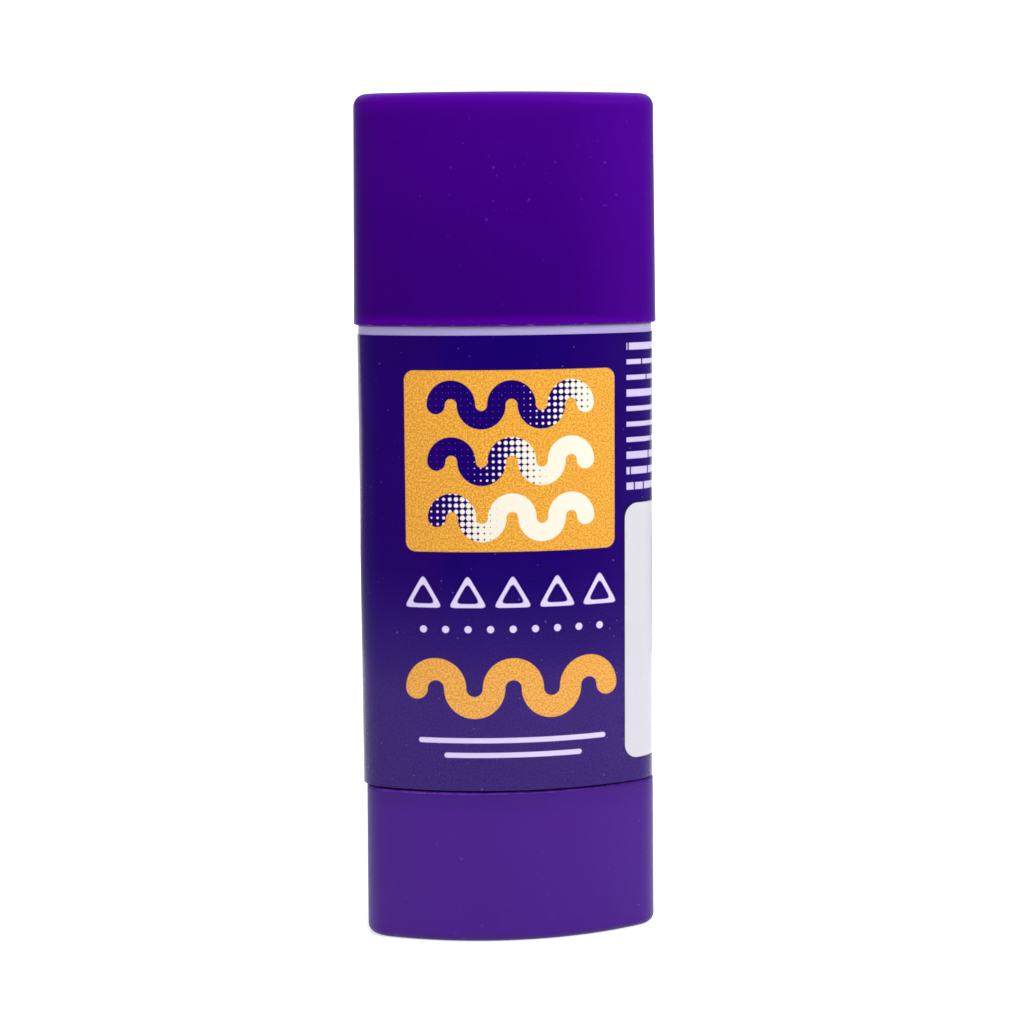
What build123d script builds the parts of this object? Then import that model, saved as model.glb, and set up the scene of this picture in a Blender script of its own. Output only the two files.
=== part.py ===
from build123d import *
from math import atan, atan2, cos, degrees, radians, sin, sqrt
import os

# Twist-up glue stick with a rounded-triangle barrel, a turning knob below and a pull-off cap above.
# Millimetres. The origin is on the screw axis, on the table; the front face looks along -Y.

# Outline of the barrel, seen from above: bowed faces joined by round corners
face_count = 3
face_reach = 12.67
face_radius = 28.8
corner_radius = 3.14
least_corner_radius = 0.8

# Heights that stack up from the table
knob_height = 15.5
turning_gap = 0.2
barrel_length = 46.64
neck_length = 18.0
cap_height = 22.66

# Clearances
sliding_gap = 0.12
running_gap = 0.08
thrust_gap = 0.12
press_gap = 0.02
thread_gap = 0.25

# Barrel
bore_inset = 1.8
bulkhead_thickness = 1.8
foot_bevel = 0.25
shoulder_radius = 0.15
mouth_bevel = 0.3
guide_length = 3.0
guide_wall = 1.2
snap_bead_height = 0.9
snap_bead_lift = 3.0
snap_bead_proud = 0.2

# Wrap label
label_thickness = 0.1
adhesive_thickness = 0.02
label_foot_margin = 0.05
collar_height = 0.93

# Cap
cap_wall = 1.0
cap_crown = 1.2
cap_top_overhang = 0.12
cap_mouth_overhang = 0.41
cap_top_radius = 1.25
cap_mouth_radius = 0.15
cap_slip_gap = 0.25
seal_wall = 0.8
seal_depth = 1.2
seal_bevel = 0.3

# Knob
knob_wall = 1.5
knob_floor = 1.6
knob_rim_overhang = 0.02
knob_foot_overhang = 0.12
knob_foot_radius = 0.8
knob_rim_radius = 0.3
knob_rest_turn = 1.9
foot_rim_width = 3.0
foot_recess_depth = 0.5
hub_radius = 5.2
knob_rib_count = 6
knob_rib_thickness = 1.0
knob_rib_clearance = 0.6
socket_floor = 4.1

# Spindle, the lead screw: its hexagonal shank is pressed into the knob's hub
shank_sides = 6
shank_across_flats = 5.6
journal_radius = 3.4
flange_radius = 5.5
flange_thickness = 1.2
core_radius = 2.2
spindle_tip_bevel = 0.7

# Left-hand thread, so that the glue rises when the knob turns clockwise as seen from below
thread_pitch = 4.0
thread_height = 1.0
thread_root_width = 1.5
thread_crest_width = 0.8
thread_bite = 0.3
nut_thread_turns = 1

# Carrier, the piston cup that holds the glue
carrier_rest_gap = 0.3
carrier_wall = 0.9
carrier_plate = 1.4
rim_height = 3.6
lip_height = 1.2
lip_relief = 0.3
nut_wall = 1.8
carrier_rib_count = 6
carrier_rib_thickness = 0.9
anchor_count = 3
anchor_height = 2.6
anchor_thickness = 0.9
anchor_length = 3.0

# Glue
glue_recess = 2.4
glue_cover = 2.6
glue_edge_radius = 0.6
channel_end_gap = 0.8

# Levels worked out from the sizes above
barrel_foot = knob_height + turning_gap
shoulder = barrel_foot + barrel_length
mouth = shoulder + neck_length
bore_floor = barrel_foot + bulkhead_thickness
guide_foot = barrel_foot - guide_length
hub_top = barrel_foot - thrust_gap
shank_foot = socket_floor + thrust_gap
flange_foot = bore_floor + thrust_gap
flange_top = flange_foot + flange_thickness
cap_ceiling = shoulder + cap_height - cap_crown
seal_foot = mouth - seal_depth
glue_top = mouth - glue_recess
channel_top = glue_top - glue_cover
spindle_top = channel_top - channel_end_gap
carrier_foot = bore_floor + carrier_rest_gap
nut_foot = flange_top + carrier_rest_gap
nut_thread_start = flange_top + thread_pitch / 2
plate_foot = nut_thread_start + (nut_thread_turns + 1 / 2) * thread_pitch
plate_top = plate_foot + carrier_plate
rim_top = plate_top + rim_height

# Radii worked out from the sizes above
thread_radius = core_radius + thread_height
nut_bore_radius = thread_radius + thread_gap
nut_radius = nut_bore_radius + nut_wall
guide_radius = face_reach + knob_rim_overhang - knob_wall - sliding_gap


class RoundedTriangle(BaseSketchObject):
    """The barrel's outline, moved outwards by grow, or inwards where grow is below zero."""

    def __init__(self, grow, rotation=0, align=None, mode=Mode.ADD):
        bow = face_radius + grow
        corner = max(corner_radius + grow, least_corner_radius)
        half_step = 180 / face_count
        centre_back = face_radius - face_reach
        across = centre_back * sin(radians(half_step))
        corner_out = sqrt((bow - corner) ** 2 - across**2) - centre_back * cos(radians(half_step))
        sideways = corner_out * sin(radians(half_step))
        forwards = corner_out * cos(radians(half_step)) + centre_back
        half_face = degrees(atan2(sideways, forwards))
        with BuildSketch() as outline:
            with BuildLine():
                for face in range(face_count):
                    facing = 2 * half_step * face - 90
                    face_centre = Vector(-centre_back, 0).rotate(Axis.Z, facing)
                    CenterArc(face_centre, bow, facing - half_face, 2 * half_face)
                    corner_centre = Vector(corner_out, 0).rotate(Axis.Z, facing + half_step)
                    CenterArc(corner_centre, corner, facing + half_face, 2 * (half_step - half_face))
            make_face()
        super().__init__(outline.sketch, rotation, align, mode)


def draft(change, length):
    """Angle of a wall that leans in by change over length."""
    return degrees(atan(change / length))


def level(height, turn=0):
    """A level plane at a height, turned about the screw axis."""
    return Plane.XY.rotated((0, 0, turn)).offset(height)


def write(piece, name):
    """Names a finished piece and writes its file."""
    piece.part.label = name
    export_step(piece.part, f"parts/{name}.step")


os.makedirs("parts", exist_ok=True)

# Knob: a cup that stands on a raised rim, with a hub and ribs inside
with BuildPart() as knob:
    with BuildSketch(level(0, knob_rest_turn)):
        RoundedTriangle(knob_foot_overhang)
    extrude(amount=knob_height, taper=draft(knob_foot_overhang - knob_rim_overhang, knob_height))
    fillet(knob.faces().sort_by(Axis.Z)[0].edges(), radius=knob_foot_radius)
    fillet(knob.faces().sort_by(Axis.Z)[-1].edges(), radius=knob_rim_radius)
    with BuildSketch(level(knob_floor, knob_rest_turn)):
        RoundedTriangle(knob_rim_overhang - knob_wall)
    extrude(amount=knob_height, mode=Mode.SUBTRACT)
    with BuildSketch(level(0, knob_rest_turn)):
        RoundedTriangle(-foot_rim_width)
    extrude(amount=foot_recess_depth, mode=Mode.SUBTRACT)
    with BuildSketch(level(knob_floor / 2, knob_rest_turn)):
        with PolarLocations(0, knob_rib_count, start_angle=180 / knob_rib_count):
            Rectangle(face_radius, knob_rib_thickness, align=(Align.MIN, Align.CENTER))
        RoundedTriangle(-knob_wall / 2, mode=Mode.INTERSECT)
    extrude(amount=guide_foot - knob_rib_clearance - knob_floor / 2)
    with BuildSketch(level(knob_floor / 2)):
        Circle(hub_radius)
    extrude(amount=hub_top - knob_floor / 2)
    with BuildSketch(level(socket_floor, knob_rest_turn)):
        RegularPolygon(shank_across_flats / 2 + press_gap, shank_sides, major_radius=False)
    extrude(amount=hub_top - socket_floor, mode=Mode.SUBTRACT)
write(knob, "knob")

# Spindle: shank, journal, flange and left-hand screw in one moulding
with BuildPart() as spindle:
    with BuildSketch(level(shank_foot, knob_rest_turn)):
        RegularPolygon(shank_across_flats / 2, shank_sides, major_radius=False)
    extrude(amount=barrel_foot - shank_foot)
    with BuildSketch(level(hub_top)):
        Circle(journal_radius)
    extrude(amount=flange_foot - hub_top)
    with BuildSketch(level(flange_foot)):
        Circle(flange_radius)
    extrude(amount=flange_thickness)
    with BuildSketch(level(flange_top)):
        Circle(core_radius)
    extrude(amount=spindle_top - flange_top)
    chamfer(spindle.faces().sort_by(Axis.Z)[-1].edges(), length=spindle_tip_bevel)
    thread_room = spindle_top - spindle_tip_bevel - thread_root_width / 2 - flange_top
    spindle_thread_turns = int(thread_room / thread_pitch)
    flank = (thread_root_width - thread_crest_width) / (2 * thread_height)
    with BuildLine() as spindle_helix:
        Helix(
            thread_pitch,
            spindle_thread_turns * thread_pitch,
            core_radius,
            center=(0, 0, flange_top),
            lefthand=True,
        )
    with BuildSketch(Plane.XZ):
        with Locations((core_radius, flange_top)):
            Polygon(
                (-thread_bite, -thread_root_width / 2 - flank * thread_bite),
                (thread_height, -thread_crest_width / 2),
                (thread_height, thread_crest_width / 2),
                (-thread_bite, thread_root_width / 2 + flank * thread_bite),
                align=None,
            )
    sweep(path=spindle_helix.line, is_frenet=True)
write(spindle, "spindle")

# Barrel: grip, shoulder, neck and bulkhead, with a round guide that turns inside the knob
cap_lean = cap_mouth_overhang - cap_top_overhang
cap_draft = draft(cap_lean, cap_height)
neck_grow = cap_mouth_overhang - cap_wall - cap_slip_gap
bead_grow = neck_grow + snap_bead_proud - cap_lean * snap_bead_lift / cap_height
bead_draft = draft(snap_bead_proud, snap_bead_height / 2)
with BuildPart() as barrel:
    with BuildSketch(level(barrel_foot)):
        RoundedTriangle(0)
    extrude(amount=barrel_length)
    chamfer(barrel.faces().sort_by(Axis.Z)[0].edges(), length=foot_bevel)
    fillet(barrel.faces().sort_by(Axis.Z)[-1].edges(), radius=shoulder_radius)
    with BuildSketch(level(shoulder)):
        RoundedTriangle(neck_grow)
    extrude(amount=neck_length, taper=cap_draft)
    chamfer(barrel.faces().sort_by(Axis.Z)[-1].edges(), length=mouth_bevel)
    with BuildSketch(level(shoulder + snap_bead_lift)):
        RoundedTriangle(bead_grow)
    extrude(amount=snap_bead_height / 2, taper=bead_draft, both=True)
    with BuildSketch(level(bore_floor)):
        RoundedTriangle(-bore_inset)
    extrude(amount=mouth - bore_floor, mode=Mode.SUBTRACT)
    with BuildSketch(level(guide_foot)):
        Circle(guide_radius)
        Circle(guide_radius - guide_wall, mode=Mode.SUBTRACT)
    extrude(amount=guide_length)
    with Locations((0, 0, bore_floor)):
        Hole(journal_radius + running_gap, depth=bulkhead_thickness)
write(barrel, "barrel")

# Label: a film wrapped round the barrel and laid on a layer of adhesive
with BuildPart() as label:
    with BuildSketch(level(barrel_foot + label_foot_margin)):
        RoundedTriangle(adhesive_thickness + label_thickness)
        RoundedTriangle(adhesive_thickness, mode=Mode.SUBTRACT)
    extrude(amount=barrel_length - label_foot_margin - collar_height)
write(label, "label")

# Carrier: a piston cup with two guiding lips and the nut that the spindle drives
lip_grow = -bore_inset - sliding_gap
cup_grow = lip_grow - lip_relief - carrier_wall
with BuildPart() as carrier:
    with BuildSketch(level(carrier_foot)):
        RoundedTriangle(lip_grow - lip_relief)
    extrude(amount=rim_top - carrier_foot)
    for lip_foot in (carrier_foot, rim_top - lip_height):
        with BuildSketch(level(lip_foot)):
            RoundedTriangle(lip_grow)
        extrude(amount=lip_height)
    with BuildSketch(level(carrier_foot)):
        RoundedTriangle(cup_grow)
    extrude(amount=plate_foot - carrier_foot, mode=Mode.SUBTRACT)
    with BuildSketch(level(plate_top)):
        RoundedTriangle(cup_grow)
    extrude(amount=rim_height, mode=Mode.SUBTRACT)
    with BuildSketch(level(nut_foot)):
        with PolarLocations(0, carrier_rib_count, start_angle=180 / carrier_rib_count):
            Rectangle(face_radius, carrier_rib_thickness, align=(Align.MIN, Align.CENTER))
        RoundedTriangle(cup_grow + carrier_wall / 2, mode=Mode.INTERSECT)
        Circle(nut_radius)
    extrude(amount=plate_foot - nut_foot)
    with BuildSketch(level(plate_top)):
        with PolarLocations(nut_radius, anchor_count, start_angle=90):
            Rectangle(anchor_length, anchor_thickness, align=(Align.MIN, Align.CENTER))
    extrude(amount=anchor_height)
    with Locations((0, 0, plate_top)):
        Hole(nut_bore_radius, depth=plate_top - nut_foot)
    with BuildLine() as nut_helix:
        Helix(
            thread_pitch,
            nut_thread_turns * thread_pitch,
            nut_bore_radius,
            center=(0, 0, nut_thread_start),
            lefthand=True,
        )
    nut_root_width = thread_pitch - thread_crest_width + 2 * flank * thread_gap - 2 * thread_gap
    with BuildSketch(Plane.XZ):
        with Locations((nut_bore_radius, nut_thread_start)):
            Polygon(
                (thread_bite, -nut_root_width / 2 - flank * thread_bite),
                (-thread_height, -nut_root_width / 2 + flank * thread_height),
                (-thread_height, nut_root_width / 2 - flank * thread_height),
                (thread_bite, nut_root_width / 2 + flank * thread_bite),
                align=None,
            )
    sweep(path=nut_helix.line, is_frenet=True)
write(carrier, "carrier")

# Glue: a stick cast in the carrier's cup, with a blind channel for the spindle
with BuildPart() as glue:
    with BuildSketch(level(rim_top + press_gap)):
        RoundedTriangle(lip_grow)
    extrude(amount=glue_top - rim_top - press_gap)
    fillet(glue.faces().sort_by(Axis.Z)[-1].edges(), radius=glue_edge_radius)
    with BuildSketch(level(plate_top + press_gap)):
        RoundedTriangle(cup_grow - press_gap)
    extrude(amount=rim_height)
    with BuildSketch(level(plate_top)):
        with PolarLocations(nut_radius - press_gap, anchor_count, start_angle=90):
            Rectangle(
                anchor_length + 2 * press_gap,
                anchor_thickness + 2 * press_gap,
                align=(Align.MIN, Align.CENTER),
            )
    extrude(amount=anchor_height + press_gap, mode=Mode.SUBTRACT)
    with Locations((0, 0, plate_top)):
        Hole(nut_bore_radius, depth=channel_top - plate_top)
write(glue, "glue")

# Cap: drafted outside and inside, with a sealing ring that enters the mouth of the neck
with BuildPart() as cap:
    with BuildSketch(level(shoulder)):
        RoundedTriangle(cap_mouth_overhang)
    extrude(amount=cap_height, taper=cap_draft)
    fillet(cap.faces().sort_by(Axis.Z)[-1].edges(), radius=cap_top_radius)
    fillet(cap.faces().sort_by(Axis.Z)[0].edges(), radius=cap_mouth_radius)
    with BuildSketch(level(shoulder)):
        RoundedTriangle(cap_mouth_overhang - cap_wall)
    extrude(amount=cap_ceiling - shoulder, taper=cap_draft, mode=Mode.SUBTRACT)
    with BuildSketch(level(seal_foot)):
        RoundedTriangle(lip_grow)
    extrude(amount=cap_ceiling - seal_foot)
    chamfer(cap.faces().filter_by(Axis.Z).sort_by(Axis.Z)[1].edges(), length=seal_bevel)
    with BuildSketch(level(seal_foot)):
        RoundedTriangle(lip_grow - seal_wall)
    extrude(amount=cap_ceiling - seal_foot, mode=Mode.SUBTRACT)
write(cap, "cap")
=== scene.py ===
# %% [markdown]
# # A twist-up glue stick with a rounded-triangle barrel
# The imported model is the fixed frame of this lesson. It holds five moulded parts, a wrap label and the
# stick of glue, each at its real size and in its place. This script gives each of them the finish of
# the real thing, makes the label anew as one wrapped film, and sets the photograph's camera and light.

# %% Load the frame
from math import atan2, cos, pi, radians, sin, sqrt

import bmesh
import bpy
from mathutils import Matrix, Vector


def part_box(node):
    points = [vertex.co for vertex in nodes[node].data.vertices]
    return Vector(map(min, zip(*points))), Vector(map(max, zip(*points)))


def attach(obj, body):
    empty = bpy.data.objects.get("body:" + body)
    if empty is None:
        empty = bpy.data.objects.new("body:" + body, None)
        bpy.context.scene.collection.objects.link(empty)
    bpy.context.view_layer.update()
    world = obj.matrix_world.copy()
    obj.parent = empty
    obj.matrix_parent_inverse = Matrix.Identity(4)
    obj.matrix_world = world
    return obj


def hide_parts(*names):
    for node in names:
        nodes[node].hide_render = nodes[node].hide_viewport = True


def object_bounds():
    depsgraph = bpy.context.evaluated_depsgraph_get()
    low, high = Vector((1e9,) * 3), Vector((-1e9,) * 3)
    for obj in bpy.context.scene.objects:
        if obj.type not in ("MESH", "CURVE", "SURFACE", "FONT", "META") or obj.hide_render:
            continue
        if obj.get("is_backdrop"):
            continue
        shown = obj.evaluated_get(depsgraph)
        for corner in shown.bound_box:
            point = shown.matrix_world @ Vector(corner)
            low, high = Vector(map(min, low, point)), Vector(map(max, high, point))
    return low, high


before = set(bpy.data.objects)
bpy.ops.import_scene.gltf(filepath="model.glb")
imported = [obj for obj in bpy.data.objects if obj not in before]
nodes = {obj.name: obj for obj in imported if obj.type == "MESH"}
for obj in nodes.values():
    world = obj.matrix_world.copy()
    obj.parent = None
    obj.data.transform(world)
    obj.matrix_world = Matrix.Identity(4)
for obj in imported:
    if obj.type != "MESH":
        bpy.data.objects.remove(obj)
cad_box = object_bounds()
MM = 0.001
print("nodes:", sorted(nodes))
print("height of the capped stick:", round((cad_box[1].z - cad_box[0].z) / MM, 2), "mm")

# %% [markdown]
# ## Camera
# This camera was fitted to the outline of the stick in the photograph. It stands a little lower than the
# cap's top, has a long lens and looks slightly down. In the photograph the stick is turned by a few
# degrees. Here it stays square to the frame, so the camera goes round it by the same angle instead. The
# matrix is a product of plain steps: tip the camera forwards, swing it, carry it out to its distance, and
# turn the whole rig about the stick.

# %% Camera
PHOTO_SIDE = 1024
FOCAL_PIXELS = 2262.6
SENSOR = 36.0
EYE_DISTANCE = 234.5 * MM
EYE_HEIGHT = 72.94 * MM
EYE_PITCH = 0.1299
EYE_SWING = -0.0049
EYE_ROLL = -0.0071
STICK_TURN = 0.0877

camera = bpy.data.objects.new("camera", bpy.data.cameras.new("camera"))
bpy.context.scene.collection.objects.link(camera)
bpy.context.scene.camera = camera
camera.data.sensor_fit = "HORIZONTAL"
camera.data.sensor_width = SENSOR
camera.data.lens = FOCAL_PIXELS / PHOTO_SIDE * SENSOR
camera.data.clip_start = 10 * MM
camera.matrix_world = (
    Matrix.Rotation(-STICK_TURN, 4, "Z")
    @ Matrix.Translation((0, -EYE_DISTANCE, EYE_HEIGHT))
    @ Matrix.Rotation(EYE_SWING, 4, "Z")
    @ Matrix.Rotation(pi / 2 - EYE_PITCH, 4, "X")
    @ Matrix.Rotation(EYE_ROLL, 4, "Z")
)
print("lens:", round(camera.data.lens, 2), "mm")

# %% [markdown]
# ## Wires
# Every finish below is a small formula over the surface: noise for the skin of the plastic, distances
# for the print. Node by node such formulas are hard to read. The class here wraps one socket, and its
# sums, products and limits lay the Math nodes, so a formula in the script looks like a formula.

# %% Wires
class Wire:
    """A value on its way through a node tree."""

    def __init__(self, tree, socket):
        self.tree = tree
        self.socket = socket

    def math(self, operation, *others):
        node = self.tree.nodes.new("ShaderNodeMath")
        node.operation = operation
        for slot, value in enumerate((self, *others)):
            plug(self.tree, value, node.inputs[slot])
        return Wire(self.tree, node.outputs[0])

    def __add__(self, other):
        return self.math("ADD", other)

    def __sub__(self, other):
        return self.math("SUBTRACT", other)

    def __mul__(self, other):
        return self.math("MULTIPLY", other)

    def __truediv__(self, other):
        return self.math("DIVIDE", other)

    def __abs__(self):
        return self.math("ABSOLUTE")

    def least(self, other):
        return self.math("MINIMUM", other)

    def most(self, other):
        return self.math("MAXIMUM", other)

    def wrapped(self, low, high):
        return self.math("WRAP", high, low)

    def ramp(self, low, high, start=0.0, end=1.0, smooth=False):
        """The value moved from the span low to high onto the span start to end, and held at its ends."""
        node = self.tree.nodes.new("ShaderNodeMapRange")
        node.interpolation_type = "SMOOTHSTEP" if smooth else "LINEAR"
        for slot, value in enumerate((self, low, high, start, end)):
            plug(self.tree, value, node.inputs[slot])
        return Wire(self.tree, node.outputs[0])


def plug(tree, value, socket):
    """Feeds a socket from a wire, or sets it to a number or a colour."""
    if isinstance(value, Wire):
        tree.links.new(value.socket, socket)
    else:
        socket.default_value = value


def length(across, up):
    """How far a point lies from the origin of two wires."""
    return (across * across + up * up).math("SQRT")


def mix(tree, share, first, second):
    """The colour first where share is 0, and second where it is 1."""
    node = tree.nodes.new("ShaderNodeMix")
    node.data_type = "RGBA"
    plug(tree, share, node.inputs["Factor"])
    plug(tree, first, node.inputs["A"])
    plug(tree, second, node.inputs["B"])
    return Wire(tree, node.outputs["Result"])


def place(tree, scale=(1, 1, 1)):
    """The point on the piece in its own frame, stretched by a scale along each axis."""
    where = tree.nodes.new("ShaderNodeTexCoord")
    node = tree.nodes.new("ShaderNodeMapping")
    node.inputs["Scale"].default_value = scale
    tree.links.new(where.outputs["Object"], node.inputs["Vector"])
    return Wire(tree, node.outputs["Vector"])


def noise(tree, where, scale, detail=2.0, roughness=0.5):
    """Soft noise from 0 to 1 at a scale in features for each unit of the place."""
    node = tree.nodes.new("ShaderNodeTexNoise")
    node.inputs["Detail"].default_value = detail
    node.inputs["Roughness"].default_value = roughness
    plug(tree, where, node.inputs["Vector"])
    plug(tree, scale, node.inputs["Scale"])
    return Wire(tree, node.outputs[0])


def split(tree, vector):
    """The three parts of a vector."""
    node = tree.nodes.new("ShaderNodeSeparateXYZ")
    plug(tree, vector, node.inputs[0])
    return [Wire(tree, socket) for socket in node.outputs]


# %% [markdown]
# ## Stage
# The stick stands on a pale paper sweep in a light tent. The sweep is one profile, drawn with a spin for
# its round corner and extruded sideways. Light Path lifts the paper to white for the camera and in
# gloss, so the paper needs no more light than the stick, and it keeps a faint shadow under the knob.

# %% Paper sweep
WHITE = (1, 1, 1, 1)
PAPER = (0.62, 0.62, 0.63, 1)
PAPER_LIFT = (0.60, 1.00)
LIFT_FADE = (0.10, 0.32)
SWEEP_FRONT = -1.2
SWEEP_BACK = 0.55
SWEEP_RADIUS = 0.3
SWEEP_HEIGHT = 1.6
SWEEP_WIDTH = 3.0


def new_object(name, bm):
    """Turns a finished bmesh into an object of the scene."""
    mesh = bpy.data.meshes.new(name)
    bm.to_mesh(mesh)
    bm.free()
    made = bpy.data.objects.new(name, mesh)
    bpy.context.scene.collection.objects.link(made)
    return made


def new_material(name):
    """A node material with its Principled shader."""
    material = bpy.data.materials.new(name)
    material.use_nodes = True
    return material, material.node_tree, material.node_tree.nodes["Principled BSDF"]


def last_vertex(result):
    return next(item for item in result["geom_last"] if isinstance(item, bmesh.types.BMVert))


def seen_directly(tree):
    """1 for the rays that show a surface itself: the camera's, those in gloss and those through glass."""
    path = tree.nodes.new("ShaderNodeLightPath")
    rays = [Wire(tree, path.outputs[f"Is {kind} Ray"]) for kind in ("Camera", "Glossy", "Transmission")]
    return rays[0].most(rays[1]).most(rays[2])


bm = bmesh.new()
end = bm.verts.new((0, SWEEP_FRONT, 0))
run = bmesh.ops.extrude_vert_indiv(bm, verts=[end])["verts"]
bmesh.ops.translate(bm, verts=run, vec=(0, SWEEP_BACK - SWEEP_RADIUS - SWEEP_FRONT, 0))
corner_centre = (0, SWEEP_BACK - SWEEP_RADIUS, SWEEP_RADIUS)
turned = bmesh.ops.spin(bm, geom=run, cent=corner_centre, axis=(1, 0, 0), angle=pi / 2, steps=24)
run = bmesh.ops.extrude_vert_indiv(bm, verts=[last_vertex(turned)])["verts"]
bmesh.ops.translate(bm, verts=run, vec=(0, 0, SWEEP_HEIGHT - SWEEP_RADIUS))
bmesh.ops.translate(bm, verts=bm.verts, vec=(-SWEEP_WIDTH / 2, 0, 0))
side = bmesh.ops.extrude_edge_only(bm, edges=bm.edges[:])["geom"]
moved = [item for item in side if isinstance(item, bmesh.types.BMVert)]
bmesh.ops.translate(bm, verts=moved, vec=(SWEEP_WIDTH, 0, 0))
for face in bm.faces:
    face.smooth = True
sweep = new_object("paper_sweep", bm)

paper, tree, shader = new_material("paper")
shader.inputs["Base Color"].default_value = PAPER
shader.inputs["Roughness"].default_value = 0.9
shader.inputs["Specular IOR Level"].default_value = 0.1
shader.inputs["Emission Color"].default_value = WHITE
x, y, z = split(tree, place(tree))
lift = length(x, y).ramp(*LIFT_FADE, *PAPER_LIFT)
plug(tree, seen_directly(tree) * lift, shader.inputs["Emission Strength"])
sweep.data.materials.append(paper)
sweep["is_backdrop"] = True
print("sweep faces:", len(sweep.data.polygons))

# %% [markdown]
# ## Light
# Four soft boxes light the stick: one high in front, one at each side, the right one near and strong, and
# one behind. The world adds an even glow, as the walls of a light tent do, and is plain white wherever it
# is seen itself. The boxes are left out of the gloss, which the card in the next step looks after.

# %% World and lamps
TENT_GLOW = 0.35
STICK_MIDDLE = Vector((0, 0, 0.045))
# Each lamp has its place, its width and depth, and its watts.
LAMPS = {
    "front_box": ((0.02, -0.24, 0.38), (0.28, 0.22), 0.55),
    "left_box": ((-0.45, -0.20, 0.26), (0.30, 0.30), 0.80),
    "right_box": ((0.20, -0.18, 0.24), (0.16, 0.16), 0.80),
    "back_box": ((0.00, 0.30, 0.60), (0.40, 0.40), 1.80),
}

world = bpy.data.worlds.new("tent")
world.use_nodes = True
bpy.context.scene.world = world
tree = world.node_tree
glow = tree.nodes["Background"]
glow.inputs["Color"].default_value = WHITE
plug(tree, seen_directly(tree) * (1 - TENT_GLOW) + TENT_GLOW, glow.inputs["Strength"])

for name, (spot, size, power) in LAMPS.items():
    lamp = bpy.data.lights.new(name, "AREA")
    lamp.shape = "RECTANGLE"
    lamp.size, lamp.size_y = size
    lamp.energy = power
    soft_box = bpy.data.objects.new(name, lamp)
    bpy.context.scene.collection.objects.link(soft_box)
    soft_box.location = spot
    soft_box.visible_camera = False
    soft_box.visible_glossy = False
    soft_box.rotation_euler = (STICK_MIDDLE - Vector(spot)).to_track_quat("-Z", "Y").to_euler()
print("lamps:", len(LAMPS))

# %% [markdown]
# ## What the gloss sees
# What the photograph's label mirrors looks like a dark room behind the camera, dim screens at the sides
# and the edge of a table about 20 cm before the stick, which is a guess from the reflections alone. Real
# screens would also change the light on the plastic. So a card that only glossy rays see stands for all
# of that: a ring wall with its foot laid on the paper, spun from one profile, whose glow is painted by
# compass bearing.

# %% Room card
ROOM_RADIUS = 0.55
ROOM_HEIGHT = 0.42
TABLE_FADE = (0.150, 0.245)
TABLE_GLOW = 0.78
ROOM_START = radians(-270)
ROOM_END = ROOM_START + 2 * pi
ROOM_GLOW = (
    (-270, (0.42, 0.38, 0.46)),
    (-165, (0.32, 0.24, 0.36)),
    (-150, (0.34, 0.10, 0.26)),
    (-117, (0.34, 0.04, 0.20)),
    (-112, (0.02, 0.01, 0.02)),
    (-70, (0.02, 0.01, 0.02)),
    (-48, (0.34, 0.06, 0.28)),
    (-20, (0.45, 0.36, 0.50)),
    (90, (0.42, 0.38, 0.46)),
)

bm = bmesh.new()
foot = bm.verts.new((TABLE_FADE[0], 0, 0.5 * MM))
out = bmesh.ops.extrude_vert_indiv(bm, verts=[foot])["verts"]
bmesh.ops.translate(bm, verts=out, vec=(TABLE_FADE[1] - TABLE_FADE[0], 0, 0))
out = bmesh.ops.extrude_vert_indiv(bm, verts=out)["verts"]
bmesh.ops.translate(bm, verts=out, vec=(ROOM_RADIUS - TABLE_FADE[1], 0, 0))
out = bmesh.ops.extrude_vert_indiv(bm, verts=out)["verts"]
bmesh.ops.translate(bm, verts=out, vec=(0, 0, ROOM_HEIGHT))
bmesh.ops.rotate(bm, verts=bm.verts, cent=(0, 0, 0), matrix=Matrix.Rotation(ROOM_START, 3, "Z"))
turned = bm.verts[:] + bm.edges[:]
bmesh.ops.spin(bm, geom=turned, cent=(0, 0, 0), axis=(0, 0, 1), angle=2 * pi, steps=96, use_merge=True)
room = new_object("room_card", bm)
for unseen in ("camera", "diffuse", "transmission", "volume_scatter", "shadow"):
    setattr(room, f"visible_{unseen}", False)

card = bpy.data.materials.new("room_glow")
card.use_nodes = True
tree = card.node_tree
tree.nodes.clear()
x, y, z = split(tree, place(tree))
bearing = (x.math("ARCTAN2", y) * -1 + pi / 2).wrapped(ROOM_START, ROOM_END)
ramp = tree.nodes.new("ShaderNodeValToRGB")
plug(tree, bearing.ramp(ROOM_START, ROOM_END), ramp.inputs[0])
stops = ramp.color_ramp.elements
for number, (degrees_round, tint) in enumerate(ROOM_GLOW):
    share = (radians(degrees_round) - ROOM_START) / (ROOM_END - ROOM_START)
    stop = stops[number] if number < 2 else stops.new(share)
    stop.position = share
    stop.color = (*tint, 1)
out_from_stick = length(x, y)
table_share = out_from_stick.ramp(*TABLE_FADE, 1, 0, smooth=True)
table = mix(tree, table_share, Wire(tree, ramp.outputs[0]), (TABLE_GLOW, TABLE_GLOW, TABLE_GLOW, 1))
light = tree.nodes.new("ShaderNodeEmission")
plug(tree, table, light.inputs["Color"])
end_node = tree.nodes.new("ShaderNodeOutputMaterial")
tree.links.new(light.outputs[0], end_node.inputs["Surface"])
room.data.materials.append(card)
room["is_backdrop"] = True
print("room card faces:", len(room.data.polygons))

# %% [markdown]
# ## Moulded plastic
# Five parts are injection moulded. Up close such plastic isn't even: its skin has a fine satin grain from
# the mould, slow swirls where the colour flowed, and faint rubs where it has been handled. The three
# effects are one node group that each plastic uses with its own amounts.

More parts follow.
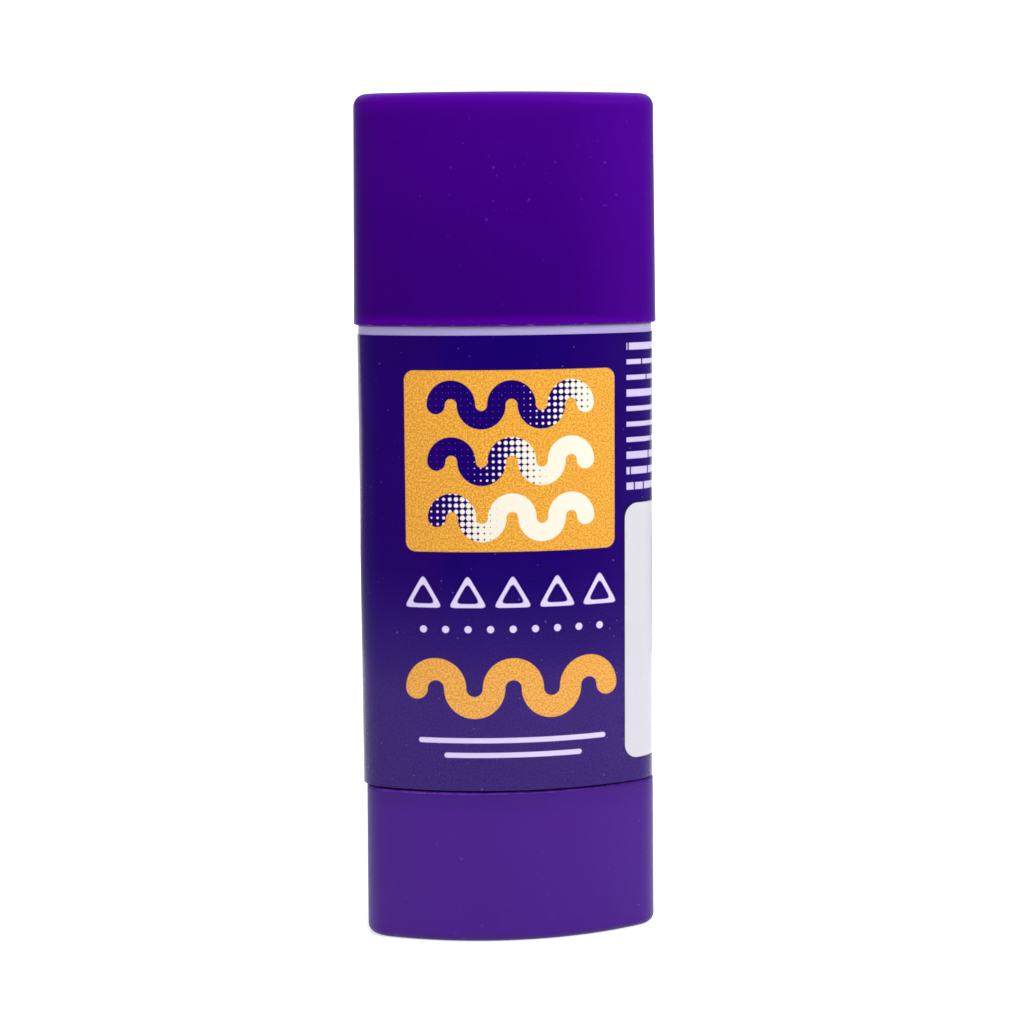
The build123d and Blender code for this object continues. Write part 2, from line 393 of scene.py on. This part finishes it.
# %% Moulded skin group
def new_group(name, inputs, outputs):
    """A shader node group with number inputs and the given outputs."""
    group = bpy.data.node_groups.new(name, "ShaderNodeTree")
    for label, value in inputs.items():
        socket = group.interface.new_socket(label, in_out="INPUT", socket_type="NodeSocketFloat")
        socket.default_value = value
    for label in outputs:
        group.interface.new_socket(label, in_out="OUTPUT", socket_type="NodeSocketFloat")
    start = group.nodes.new("NodeGroupInput")
    finish = group.nodes.new("NodeGroupOutput")
    given = {label: Wire(group, start.outputs[label]) for label in inputs}
    return group, given, finish


SKIN_INPUTS = {"Grain per metre": 5200.0, "Flow per metre": 90.0, "Rubbing": 0.3}
SKIN_OUTPUTS = ("Flow", "Dust", "Roughness shift", "Height")
skin, given, finish = new_group("moulded_skin", SKIN_INPUTS, SKIN_OUTPUTS)
grain = noise(skin, place(skin), given["Grain per metre"], detail=3.0, roughness=0.6)
flow = noise(skin, place(skin, (1, 1, 0.25)), given["Flow per metre"], detail=3.0)
streak = noise(skin, place(skin, (1, 1, 0.06)), 2600.0, detail=2.0)
patch = noise(skin, place(skin), 210.0, detail=4.0, roughness=0.65)
rub = streak.ramp(0.60, 0.72) * patch.ramp(0.52, 0.64) * given["Rubbing"]
dust = noise(skin, place(skin), 1900.0, detail=0.0).ramp(0.79, 0.87)
plug(skin, flow * 0.6 + grain * 0.4, finish.inputs["Flow"])
plug(skin, dust, finish.inputs["Dust"])
plug(skin, rub * 0.16 + (grain - 0.5) * 0.16, finish.inputs["Roughness shift"])
plug(skin, grain * 0.7 + flow * 0.3 - rub * 0.2, finish.inputs["Height"])
print("skin group nodes:", len(skin.nodes))


# %% [markdown]
# A plastic is then one Principled shader. Its colour drifts a little with the flow, and its roughness and
# its bump come from the group. The specular level is low, because these parts have a satin skin that
# hardly mirrors. What the cap does mirror is tinted violet head on, because that comes closest to its
# colour in the photograph. A part may also have marks of its own and painted highlights and shade, which a
# function lays over the skin.

# %% Plastic with marks and painted light
SKIN_DEPTH = 0.022 * MM
DUST = (0.60, 0.52, 0.72, 1)
DUST_SHOWN = 0.05
NO_TINT = (1, 1, 1)
VIOLET_TINT = (0.75, 0.05, 1.00)


def no_marks(tree, colour, height):
    return colour, height


def rough_up(tree, shader, height, strength, depth):
    """Gives a shader a bump of a depth from a wire of heights."""
    bump = tree.nodes.new("ShaderNodeBump")
    bump.inputs["Strength"].default_value = strength
    bump.inputs["Distance"].default_value = depth
    plug(tree, height, bump.inputs["Height"])
    tree.links.new(bump.outputs["Normal"], shader.inputs["Normal"])


def plastic(name, dark, light, roughness, shine, rubbing, tint=NO_TINT, marks_and_painted_light=no_marks):
    """A moulded plastic with its own two colours, gloss, rubbing, tint of the gloss, and marks with
    painted light.
    """
    material, tree, shader = new_material(f"{name}_plastic")
    surface = tree.nodes.new("ShaderNodeGroup")
    surface.node_tree = skin
    surface.inputs["Rubbing"].default_value = rubbing
    flow, dust, shift, height = (Wire(tree, socket) for socket in surface.outputs)
    colour = mix(tree, flow.ramp(0.3, 0.7), (*dark, 1), (*light, 1))
    colour, height = marks_and_painted_light(tree, mix(tree, dust * DUST_SHOWN, colour, DUST), height)
    plug(tree, colour, shader.inputs["Base Color"])
    plug(tree, shift + roughness, shader.inputs["Roughness"])
    shader.inputs["Specular IOR Level"].default_value = shine
    shader.inputs["Specular Tint"].default_value = (*tint, 1)
    rough_up(tree, shader, height, 0.4, SKIN_DEPTH)
    return material


def dress(node, material):
    """Gives a node of the frame its material."""
    nodes[node].data.materials.clear()
    nodes[node].data.materials.append(material)


# %% [markdown]
# ### Marks and painted light of the cap
# In the photograph the cap is brighter near its top edge, its lip and the right-hand corner, and darker
# low down. The plastic may let a little light through, or the lamps may do it. One picture can't tell, so
# these highlights and this shade are painted on. The lip has small pale nicks, as if from being pulled off
# and pushed on, and they are painted bright like glints. The top can't be seen there. In its middle is
# what
# such caps have, a gate mark: a low ring round a broken-off nib, where the plastic entered the mould.

# %% Cap marks and painted light
CAP_GLOW = (0.105, 0.0006, 0.36, 1)
CAP_PAINTED_SHADE = (0.026, 0.0001, 0.145, 1)
NICK_GLINT = (0.36, 0.13, 0.48, 1)
PAINTED_SHADE_DOWN = (3 * MM, 20 * MM)
LIT_TOP = (0.4 * MM, 2.8 * MM)
LIT_LIP = (0.3 * MM, 1.3 * MM)
LIT_CORNER = (4 * MM, 14 * MM)
NICK_GLINT_BAND = (0.09 * MM, 0.17 * MM)
GATE_RING_RADIUS = 1.9 * MM
GATE_NIB_RADIUS = 0.5 * MM
cap_mouth, cap_top = (corner.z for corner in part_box("cap"))


def cap_marks_and_painted_light(tree, colour, height):
    x, y, z = split(tree, place(tree))
    below_top = z * -1 + cap_top
    above_lip = z - cap_mouth
    # painted shade: the cap's colour darkens from near its top down towards its mouth
    colour = mix(tree, below_top.ramp(*PAINTED_SHADE_DOWN, 0, 0.75, smooth=True), colour, CAP_PAINTED_SHADE)
    # painted highlights along the top edge, over the lip and at the right-hand corner
    top_glow = below_top.ramp(*LIT_TOP, 0.30, 0, smooth=True)
    lip_glow = above_lip.ramp(*LIT_LIP, 0.42, 0, smooth=True)
    corner_glow = x.ramp(*LIT_CORNER, 0, 0.24, smooth=True)
    colour = mix(tree, top_glow.most(lip_glow).most(corner_glow), colour, CAP_GLOW)
    # small pale nicks along the lip's edge, painted bright as glints
    nick_glint_noise = noise(tree, place(tree, (1, 1, 0.3)), 700.0, detail=3.0, roughness=0.7)
    nick_glints = nick_glint_noise.ramp(0.55, 0.64) * above_lip.ramp(*NICK_GLINT_BAND, 1, 0)
    colour = mix(tree, nick_glints * 0.50, colour, NICK_GLINT)
    out = length(x, y)
    ring = abs(out - GATE_RING_RADIUS).ramp(0.10 * MM, 0.18 * MM, 1, 0)
    nib = (out - GATE_NIB_RADIUS).ramp(-0.05 * MM, 0.10 * MM, 1, 0)
    on_top = below_top.ramp(0.05 * MM, 0.10 * MM, 1, 0)
    return colour, height + (nib * 5 - ring * 4) * on_top


# %% [markdown]
# ### Marks and painted light of the knob
# In the photograph the knob is a little darker close under the barrel, and that is painted shade here. A
# pale line at its very top is a painted highlight. It stands on its rim, so the rim is scuffed. The
# underside can't be seen there. It has what such mouldings have: a gate mark, and three round ejector
# marks where the pins pushed the knob out of its mould.

# %% Knob marks and painted light
SCUFF = (0.16, 0.11, 0.33, 1)
PAINTED_RIM_HIGHLIGHT = (0.12, 0.03, 0.34, 1)
KNOB_PAINTED_SHADE = (0.030, 0.0014, 0.160, 1)
SCUFFED_FOOT = (0.05 * MM, 0.7 * MM)
PAINTED_SHADE_NEAR_SEAM = (0.2 * MM, 3.0 * MM)
PAINTED_RIM_BAND = (0.22 * MM, 0.30 * MM)
PIN_DISTANCE = 7.5 * MM
PIN_RADIUS = 1.6 * MM
PIN_TURNS = (30, 150, 270)
knob_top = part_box("knob")[1].z


def knob_marks_and_painted_light(tree, colour, height):
    x, y, z = split(tree, place(tree))
    scuff_and_highlight_noise = noise(tree, place(tree), 900.0, detail=5.0, roughness=0.75)
    scuffs = scuff_and_highlight_noise.ramp(0.55, 0.66) * z.ramp(*SCUFFED_FOOT, 1, 0)
    colour = mix(tree, scuffs * 0.7, colour, SCUFF)
    below_seam = z * -1 + knob_top
    # painted shade: the knob darkens close under the barrel's edge
    colour = mix(tree, below_seam.ramp(*PAINTED_SHADE_NEAR_SEAM, 0.45, 0, smooth=True), colour, KNOB_PAINTED_SHADE)
    # painted highlight: a pale line just under the knob's top, broken by the same noise as the scuffs
    rim_highlight_mask = scuff_and_highlight_noise.ramp(0.36, 0.60) * below_seam.ramp(*PAINTED_RIM_BAND, 1, 0)
    colour = mix(tree, rim_highlight_mask * 0.8, colour, PAINTED_RIM_HIGHLIGHT)
    nib = length(x, y).ramp(0.7 * MM, 0.85 * MM, 1, 0)
    pins = None
    for turn in PIN_TURNS:
        pin_x, pin_y = PIN_DISTANCE * cos(radians(turn)), PIN_DISTANCE * sin(radians(turn))
        pin = length(x - pin_x, y - pin_y)
        pins = pin if pins is None else pins.least(pin)
    rings = abs(pins - PIN_RADIUS).ramp(0.08 * MM, 0.16 * MM, 1, 0)
    under = z.ramp(0.7 * MM, 0.8 * MM, 1, 0)
    return colour, height + (nib * 5 - rings * 4) * under


# %% [markdown]
# ### The five mouldings
# The cap and the knob have close purples: the knob is a little paler and gets more scuffs. The barrel is
# a pale lilac. The carrier and the spindle can't be seen from outside, so white without colour is a guess.

# %% Moulded plastics
# Each has its dark and its light colour, its roughness, shine and rubbing, and perhaps a tint, and marks
# with painted light.
PLASTICS = {
    "cap": ((0.037, 0.0002, 0.177), (0.045, 0.0003, 0.203), 0.40, 0.15, 0.3, VIOLET_TINT, cap_marks_and_painted_light),
    "knob": ((0.049, 0.0030, 0.208), (0.058, 0.0042, 0.232), 0.42, 0.24, 0.5, NO_TINT, knob_marks_and_painted_light),
    "barrel": ((0.395, 0.350, 0.600), (0.435, 0.390, 0.655), 0.34, 0.40, 0.1),
    "carrier": ((0.780, 0.780, 0.755), (0.830, 0.830, 0.810), 0.38, 0.40, 0.0),
    "spindle": ((0.780, 0.780, 0.755), (0.830, 0.830, 0.810), 0.38, 0.40, 0.0),
}
for name, values in PLASTICS.items():
    dress(name, plastic(name, *values))
print("plastics:", ", ".join(PLASTICS))

# %% [markdown]
# ## Glue
# The photograph doesn't show the glue, so it gets the usual looks of such glue: a waxy violet stick, cast
# hot. Its colour is cloudy, its skin is dull with a few pits, and light goes a little way into it, so it
# has a subsurface share and a bump of soft pits.

# %% Glue
GLUE_DEEP = (0.19, 0.075, 0.42, 1)
GLUE_PALE = (0.30, 0.14, 0.56, 1)
GLUE_PIT_DEPTH = 0.05 * MM

material, tree, shader = new_material("violet_glue")
cloud = noise(tree, place(tree), 160.0, detail=5.0, roughness=0.6)
wax = noise(tree, place(tree), 1400.0, detail=3.0)
pits = noise(tree, place(tree), 650.0, detail=1.0).ramp(0.66, 0.74)
plug(tree, mix(tree, cloud.ramp(0.3, 0.7), GLUE_DEEP, GLUE_PALE), shader.inputs["Base Color"])
plug(tree, wax * 0.16 + 0.44 + pits * 0.1, shader.inputs["Roughness"])
shader.inputs["Subsurface Weight"].default_value = 0.25
shader.inputs["Subsurface Scale"].default_value = 1.2 * MM
shader.inputs["Subsurface Radius"].default_value = (0.8, 0.4, 1.0)
rough_up(tree, shader, wax * 0.5 + cloud * 0.4 - pits, 0.6, GLUE_PIT_DEPTH)
dress("glue", material)
print("glue dressed")

# %% [markdown]
# ## Label film
# The label is one strip of printed film, wound once round the barrel and lapped over its own start at the
# back. The strip could be the frame's closed ring with a picture on it, but then the lap and the cut
# edges would be missing. So it is drawn again: one vertex is spun round the centre of each bowed face
# and each round corner in turn, which draws the outline arc by arc, and the line is then extruded up.

# %% Outline of the barrel
FACE_COUNT = 3
FACE_RADIUS = 28.8 * MM
CORNER_RADIUS = 3.14 * MM
FILM_THICKNESS = 0.1 * MM
ADHESIVE = 0.02 * MM
STEP = pi / FACE_COUNT
low_corner, high_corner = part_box("label")
face_reach = -low_corner.y - FILM_THICKNESS - ADHESIVE


def arcs(grow):
    """The outline's arcs, one face and one corner in turn, as (centre, radius, bearing, angle)."""
    bow, corner = FACE_RADIUS + grow, CORNER_RADIUS + grow
    centre_back = FACE_RADIUS - face_reach
    corner_out = sqrt((bow - corner) ** 2 - (centre_back * sin(STEP)) ** 2) - centre_back * cos(STEP)
    half_face = atan2(corner_out * sin(STEP), corner_out * cos(STEP) + centre_back)
    for face in range(FACE_COUNT + 1):
        facing = 2 * STEP * face + radians(150)
        towards = Vector((cos(facing), sin(facing), 0))
        yield towards * -centre_back, bow, facing - half_face, 2 * half_face
        aside = Vector((cos(facing + STEP), sin(facing + STEP), 0))
        yield aside * corner_out, corner, facing + half_face, 2 * (STEP - half_face)


film_arcs = list(arcs(FILM_THICKNESS + ADHESIVE))
face_length = film_arcs[0][1] * film_arcs[0][3]
corner_length = film_arcs[1][1] * film_arcs[1][3]
wrap_length = FACE_COUNT * (face_length + corner_length)
front_middle = 1.5 * face_length + corner_length
print("once round the film:", round(wrap_length / MM, 2), "mm")

# %% [markdown]
# The spins below take the arcs in turn, and the last one is short: it is the lap. Then a walk along the
# line writes on each vertex how far along the strip it lies, because the print needs that later.

# %% Draw the line of the film
LAP = 4.0 * MM
ARC_STEP = 0.35 * MM

bm = bmesh.new()
centre, radius, bearing, angle = film_arcs[0]
end = bm.verts.new(centre + radius * Vector((cos(bearing), sin(bearing), 0)))
for number, (centre, radius, bearing, angle) in enumerate(film_arcs[: 2 * FACE_COUNT + 1]):
    if number == 2 * FACE_COUNT:
        angle = LAP / radius
    steps = max(int(radius * angle / ARC_STEP), 6)
    turned = bmesh.ops.spin(bm, geom=[end], cent=centre, axis=(0, 0, 1), angle=angle, steps=steps)
    end = last_vertex(turned)

bm.verts.ensure_lookup_table()
run_of = bm.verts.layers.float.new("run")
before, here, so_far = None, bm.verts[0], 0.0
while here is not None:
    here[run_of] = so_far
    ahead = next((e for e in here.link_edges if e.other_vert(here) is not before), None)
    if ahead is None:
        break
    so_far += ahead.calc_length()
    before, here = here, ahead.other_vert(here)
print("strip length:", round(so_far / MM, 2), "mm, vertices along it:", len(bm.verts))

# %% [markdown]
# The line is extruded up to the label's height and cut in rows. The lap is lifted by one thickness, along
# the normals, and Solidify gives the strip its thickness inwards. The run and the height, both in
# millimetres, become the film's UV map, with the run counted from the middle of the front.

# %% Raise the film
LAP_RISE = 1.2 * MM
ROW_COUNT = 16

bmesh.ops.translate(bm, verts=bm.verts, vec=(0, 0, low_corner.z))
raised = bmesh.ops.extrude_edge_only(bm, edges=bm.edges[:])["geom"]
top = [item for item in raised if isinstance(item, bmesh.types.BMVert)]
bmesh.ops.translate(bm, verts=top, vec=(0, 0, high_corner.z - low_corner.z))
upright = [e for e in bm.edges if abs(e.verts[0].co.z - e.verts[1].co.z) > MM]
bmesh.ops.subdivide_edges(bm, edges=upright, cuts=ROW_COUNT - 1, use_grid_fill=True)
middle = Vector((0, 0, (low_corner.z + high_corner.z) / 2))
bm.normal_update()
if bm.faces[:][0].normal.dot(bm.faces[:][0].calc_center_median() - middle) < 0:
    bmesh.ops.reverse_faces(bm, faces=bm.faces)
bm.normal_update()
for vertex in bm.verts:
    rise = (vertex[run_of] - wrap_length + LAP_RISE) / LAP_RISE
    rise = min(max(rise, 0.0), 1.0)
    vertex.co += vertex.normal * (FILM_THICKNESS + ADHESIVE) * rise * rise * (3 - 2 * rise)
uv = bm.loops.layers.uv.new("Wrap")
for edge in bm.edges:
    edge.smooth = not edge.is_boundary
for face in bm.faces:
    face.smooth = True
    for loop in face.loops:
        loop[uv].uv = ((loop.vert[run_of] - front_middle) / MM, loop.vert.co.z / MM)
film = new_object("label_film", bm)
wall = film.modifiers.new("thickness", "SOLIDIFY")
wall.thickness = FILM_THICKNESS
wall.offset = -1
print("film faces:", len(film.data.polygons))

# %% [markdown]
# ## Print on the film
# The print is a picture of distances. For each shape a formula gives how far a point of the film lies
# inside or outside it, and the ink ends where that distance is zero. Such a print is sharp at any size
# and bends with the film. The first tools are a rounded box, a disc, a rounded triangle and a squiggle,
# which is a chain of half circles.

# %% Shapes
INK_EDGE = 0.035


def box(u, v, centre, half, radius):
    """How far a point lies outside a rounded box."""
    across = abs(u - centre[0]) - (half[0] - radius)
    up = abs(v - centre[1]) - (half[1] - radius)
    return length(across.most(0), up.most(0)) + across.most(up).least(0) - radius


def disc(u, v, centre, radius):
    """How far a point lies outside a disc."""
    return length(u - centre[0], v - centre[1]) - radius


def triangle(u, v, centre, reach, roundness):
    """How far a point lies outside a rounded triangle that stands on its base."""
    across, up = (u - centre[0]) * cos(radians(30)), v - centre[1]
    right_side = across + up * sin(radians(30)) - reach
    left_side = up * sin(radians(30)) - across - reach
    roof = right_side.math("SMOOTH_MAX", left_side, roundness)
    return roof.math("SMOOTH_MAX", up * -1 - reach, roundness)


def squiggle(u, v, centre, bends, radius, half_width):
    """How far a point lies outside a stroke of half circles that bend up and down in turn."""
    across, up = u - centre[0], v - centre[1]
    last = (bends - 1) / 2
    bend = (across / (2 * radius)).math("ROUND").most(-last).least(last)
    cell = across - bend * (2 * radius)
    side = up * (abs(bend).math("MODULO", 2) * -2 + 1)
    own_arc = abs(length(cell, side) - radius)
    next_arc = abs(length(abs(cell) - 2 * radius, side) - radius)
    tip = length(abs(cell) - radius, side)
    outer_end = abs(across).math("GREATER_THAN", 2 * last * radius)
    under = next_arc + (tip - next_arc) * outer_end
    return under + (own_arc - under) * side.math("GREATER_THAN", 0) - half_width


def ink(distance):
    """1 inside a shape and 0 outside it."""
    return distance.ramp(-INK_EDGE, INK_EDGE, 1, 0)


def dice(tree, number):
    """A chance value from 0 to 1 for a whole number."""
    node = tree.nodes.new("ShaderNodeTexWhiteNoise")
    node.noise_dimensions = "1D"
    plug(tree, number, node.inputs["W"])
    return Wire(tree, node.outputs["Value"])


# %% [markdown]
# The film starts as plain indigo with a slow drift of ink, and every element is laid over the last one
# with mix. The orange ink is printed as a fine screen of yellow and orange, so it sparkles a little from
# close by.

# %% Inks
GROUND_DEEP = (0.0062, 0.0001, 0.114, 1)
GROUND_PALE = (0.0088, 0.0003, 0.132, 1)
ORANGE = (0.640, 0.262, 0.018, 1)
AMBER = (0.870, 0.450, 0.068, 1)
LILAC = (0.680, 0.600, 0.840, 1)
CREAM = (0.840, 0.790, 0.660, 1)
PANEL = (0.620, 0.618, 0.660, 1)

material, tree, shader = new_material("printed_film")
wrap = tree.nodes.new("ShaderNodeUVMap")
wrap.uv_map = "Wrap"
where = Wire(tree, wrap.outputs["UV"])
u, v, _ = split(tree, where)

speck = noise(tree, where, 4.5, detail=2.0, roughness=0.7)
drift = noise(tree, where, 0.12, detail=2.0)
screen = noise(tree, where, 5.0, detail=2.0, roughness=0.7)
ground = mix(tree, drift.ramp(0.35, 0.65), GROUND_DEEP, GROUND_PALE)
orange = mix(tree, screen.ramp(0.40, 0.60), ORANGE, AMBER)
print("inks ready, film from", round(low_corner.z / MM, 1), "to", round(high_corner.z / MM, 1), "mm")

# %% [markdown]
# ### Front
# The design is made of plain figures. An orange panel carries three squiggles that turn from indigo to
# cream in a screen of dots, for a glue that goes on violet and dries clear. The dots could be objects, but
# here the distance to the nearest dot is compared with a radius that grows along the squiggle.

# %% Upper half of the front
BENDS = 5
ORANGE_PANEL = ((0, 49.0), (10.7, 9.0), 1.0)
SOFT_STROKES = ((54.6, 5.2), (49.0, 0.0), (43.4, -5.2))
SOFT_RADIUS, SOFT_HALF_WIDTH = 1.5, 0.92
FADE_REACH = 4.5
DOT_PITCH = 0.62
LARGEST_DOT = 0.47

colour = mix(tree, ink(box(u, v, *ORANGE_PANEL)), ground, orange)
dot = length(u.wrapped(-DOT_PITCH / 2, DOT_PITCH / 2), v.wrapped(-DOT_PITCH / 2, DOT_PITCH / 2))
for height, middle_of_fade in SOFT_STROKES:
    dot_radius = (u - middle_of_fade).ramp(-FADE_REACH, FADE_REACH, 0.0, LARGEST_DOT)
    body = mix(tree, ink(dot - dot_radius), GROUND_PALE, CREAM)
    stroke = squiggle(u, v, (0, height), BENDS, SOFT_RADIUS, SOFT_HALF_WIDTH)
    colour = mix(tree, ink(stroke), colour, body)
print("fading squiggles:", len(SOFT_STROKES))

# %% [markdown]
# Below the panel a row of hollow triangles recalls the barrel, small dots underline it, and one thick
# orange squiggle is the stroke that the stick lays down. A row needs only one formula: the place along
# the film is folded onto one pitch, so the same figure comes again and again.

# %% Lower half of the front
TRIANGLE_COUNT = 5
TRIANGLE_PITCH = 4.5
TRIANGLE_MIDDLE, TRIANGLE_REACH, TRIANGLE_ROUND, TRIANGLE_LINE = (0, 35.5), 0.92, 0.8, 0.2
SMALL_DOT_PITCH = TRIANGLE_PITCH / 2
SMALL_DOT = ((0, 32.2), 0.36)
DOT_ROW_REACH = 10.5
THICK_STROKE = ((0, 26.2), BENDS, 1.95, 1.12)
RULES = (((0, 20.9), (9.6, 0.26)), ((0, 19.4), (7.0, 0.26)))
RULE_ROUND = 0.25

cell = u.wrapped(-TRIANGLE_PITCH / 2, TRIANGLE_PITCH / 2)
hollow = abs(triangle(cell, v, TRIANGLE_MIDDLE, TRIANGLE_REACH, TRIANGLE_ROUND)) - TRIANGLE_LINE
in_row = ink(abs(u) - TRIANGLE_COUNT / 2 * TRIANGLE_PITCH)
colour = mix(tree, ink(hollow) * in_row, colour, LILAC)

small = disc(u.wrapped(-SMALL_DOT_PITCH / 2, SMALL_DOT_PITCH / 2), v, *SMALL_DOT)
colour = mix(tree, ink(small) * ink(abs(u) - DOT_ROW_REACH), colour, LILAC)

colour = mix(tree, ink(squiggle(u, v, *THICK_STROKE)), colour, orange)
for middle, half in RULES:
    colour = mix(tree, ink(box(u, v, middle, half, RULE_ROUND)), colour, LILAC)
print("triangles:", TRIANGLE_COUNT, "rules:", len(RULES))

# %% [markdown]
# ### Right-hand face
# A blank white panel with a thin dark edge wraps round the corner. Rows of plain bars stand over it where
# a real label has its small print. Chance values decide where a bar is broken and where a row ends.

# %% Right-hand face of the print
BLACK = (0.004, 0.002, 0.020, 1)
BLANK = ((27.1, 31.2), (15.2, 13.1), 1.5)
DARK_EDGE = 0.14
ROW_PITCH = 1.56
ROWS_FROM, ROWS_TO = 44.8, 60.4
ROWS_LEFT = 12.1
ROW_ENDS = (31, 41)
THIN_BAR, BOLD_EXTRA, BOLD_CHANCE = 0.24, 0.12, 0.3
WORD = 1.15
GAP_HALF, GAP_CHANCE = 0.17, 0.55
BAR_STRENGTH = 0.85

panel = box(u, v, *BLANK)
colour = mix(tree, ink(panel - DARK_EDGE), colour, BLACK)
colour = mix(tree, ink(panel), colour, PANEL)

row = (v / ROW_PITCH).math("FLOOR")
bold = dice(tree, row + 0.25).math("GREATER_THAN", 1 - BOLD_CHANCE)
bar_half = bold * BOLD_EXTRA + THIN_BAR
in_bar = ink(abs(v - (row + 0.5) * ROW_PITCH) - bar_half)
row_end = dice(tree, row).ramp(0, 1, *ROW_ENDS)
along = u + dice(tree, row + 0.5) * 50
word = (along / WORD).math("FLOOR")
gap = ink(abs(along - word * WORD) - GAP_HALF) * dice(tree, word).math("GREATER_THAN", 1 - GAP_CHANCE)
bars = in_bar * (gap * -1 + 1) * ink(u * -1 + ROWS_LEFT) * ink(u - row_end)
bars = bars * ink(v - ROWS_TO) * ink(v * -1 + ROWS_FROM)
colour = mix(tree, bars * BAR_STRENGTH, colour, LILAC)
print("rows of bars:", round((ROWS_TO - ROWS_FROM) / ROW_PITCH))

# %% [markdown]
# ### Left-hand face
# Three rings in a column show the glue as plain figures: a squiggle, a disc and a triangle. Each has two
# bars beside it.

# %% Left-hand face of the print
RING_ACROSS = -35.2
RING_RADIUS = 4.3
RING_LINE = 0.26
BARS_LEFT = RING_ACROSS + 6.2
BAR_HALF, BAR_ROUND = 0.40, 0.38
FIGURES = {
    53.0: lambda u, v: squiggle(u, v, (0, 0), 3, 0.85, 0.42),
    38.8: lambda u, v: disc(u, v, (0, 0), 1.7),
    24.6: lambda u, v: triangle(u, v, (0, -0.3), 1.2, 1.0),
}
for height, figure in FIGURES.items():
    ring = abs(disc(u, v, (RING_ACROSS, height), RING_RADIUS)) - RING_LINE
    colour = mix(tree, ink(ring), colour, LILAC)
    colour = mix(tree, ink(figure(u - RING_ACROSS, v - height)), colour, orange)
    for offset, half in ((1.3, 4.9), (-1.3, 3.7)):
        bar = box(u, v, (BARS_LEFT + half, height + offset), (half, BAR_HALF), BAR_ROUND)
        colour = mix(tree, ink(bar), colour, LILAC)
print("print nodes:", len(tree.nodes))

# %% [markdown]
# The film itself is glossy, with the faint orange peel that a laminated label has. Violet inks often show
# bronzing, a tint in their own gloss. Here it goes towards magenta, which comes closest to the
# photograph, and the clear coat over the ink is plain. Noise makes the coat a little uneven, so the
# mirrored edge of the table looks mottled. Low down the photograph has a fine pale grain, and the film is
# given one that fades out upwards.

# %% Film finish
PEEL_DEPTH = 0.01 * MM
BRONZING = (1.0, 0.42, 1.0, 1)
GRAIN = (0.480, 0.240, 0.950, 1)
GRAIN_FROM, GRAIN_TO = 22.0, 38.0
GRAIN_SHOWN = 0.026
FILM_DUST_SHOWN = 0.08
# a faint pale grain low on the film, fading out upwards
low_pale_grain = screen.ramp(0.42, 0.58) * v.ramp(GRAIN_FROM, GRAIN_TO, GRAIN_SHOWN, 0)
dust = noise(tree, where, 2.6, detail=0.0).ramp(0.80, 0.86)
colour = mix(tree, dust * FILM_DUST_SHOWN, mix(tree, low_pale_grain, colour, GRAIN), LILAC)
plug(tree, colour, shader.inputs["Base Color"])
peel = noise(tree, where, 0.9, detail=2.0)
plug(tree, speck * 0.10 + 0.12, shader.inputs["Roughness"])
shader.inputs["Specular IOR Level"].default_value = 0.24
shader.inputs["Specular Tint"].default_value = BRONZING
plug(tree, speck.ramp(0.40, 0.60, 0.0, 0.35), shader.inputs["Coat Weight"])
shader.inputs["Coat Roughness"].default_value = 0.08
rough_up(tree, shader, peel + speck * 0.3, 0.25, PEEL_DEPTH)
film.data.materials.append(material)
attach(film, "barrel")
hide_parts("label")

# %% [markdown]
# ## Finish
# The colours are shown as they are, and both boxes are written down, so that the visual model can be
# compared with the frame.

# %% View and sizes
bpy.context.scene.view_settings.view_transform = "Standard"
boxes = {"cad": cad_box, "visual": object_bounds()}
for name, (low, high) in boxes.items():
    print(name, "box in mm:", [round(side / MM, 2) for side in high - low])
